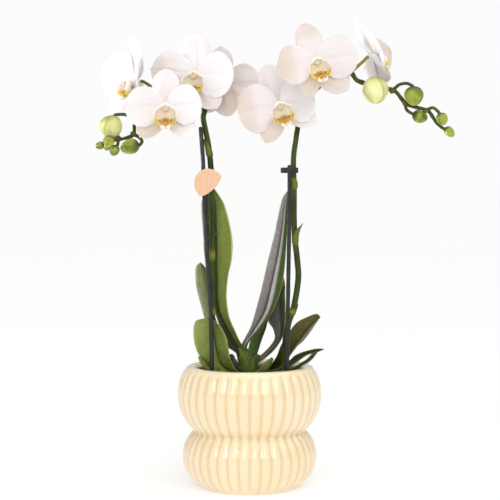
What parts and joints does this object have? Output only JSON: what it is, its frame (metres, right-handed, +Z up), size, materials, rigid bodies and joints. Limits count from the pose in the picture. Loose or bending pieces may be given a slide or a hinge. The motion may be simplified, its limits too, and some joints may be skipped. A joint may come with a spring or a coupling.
{
  "type": "potted orchid",
  "caption": "White moth orchid with staked flower spikes and strap leaves, in a growing pot inside a ribbed cream ceramic cover pot.",
  "frame": {"origin": "middle of the cover pot's foot, on the surface it stands on", "axes": "+Z up along the pot's axis, -Y the side that the blooms face, +X to the right as seen from there"},
  "size_m": [0.2998, 0.1202, 0.3928],
  "materials": {
    "glaze": "cream glaze, glossy",
    "liner_plastic": "thin dark moulded plastic",
    "bark": "rough bark chips",
    "leaf": "waxy green leaf, satin",
    "leaf_underside": "dull grey-purple underside with a green edge",
    "stem": "smooth green stem, satin",
    "crown": "light green stub stem, satin",
    "root": "dull dark aerial root",
    "petal": "white, soft, slightly translucent",
    "lip": "yellow and tan with dark red specks",
    "bud": "pale green-yellow bud, satin",
    "black_plastic": "black moulded plastic",
    "tag_board": "bare tan board"
  },
  "bodies": {
    "root": {"aerial_root": "root", "bark": "bark", "bloom_a": "petal", "bloom_b": "petal", "bloom_c": "petal", "bloom_d": "petal", "bloom_e": "petal", "bloom_f": "petal", "bloom_g": "petal", "bud_left": "bud", "bud_right": "bud", "cover_pot": "glaze", "crown": "crown", "growing_pot": "liner_plastic", "leaf_cupped": "leaf_underside", "leaf_dark": "leaf", "leaf_front": "leaf", "leaf_right": "leaf", "leaf_sheath": "leaf", "leaf_split": "leaf", "leaf_tall_left": "leaf", "leaf_tall_right": "leaf_underside", "leaf_torn": "leaf", "lip_a": "lip", "lip_b": "lip", "lip_c": "lip", "lip_d": "lip", "lip_e": "lip", "lip_f": "lip", "lip_g": "lip", "spike_left": "stem", "spike_right": "stem", "stake_left": "black_plastic", "stake_right": "black_plastic", "stalk_clip": "black_plastic", "tag": "tag_board", "tag_clip": "black_plastic"}
  },
  "joints": []
}
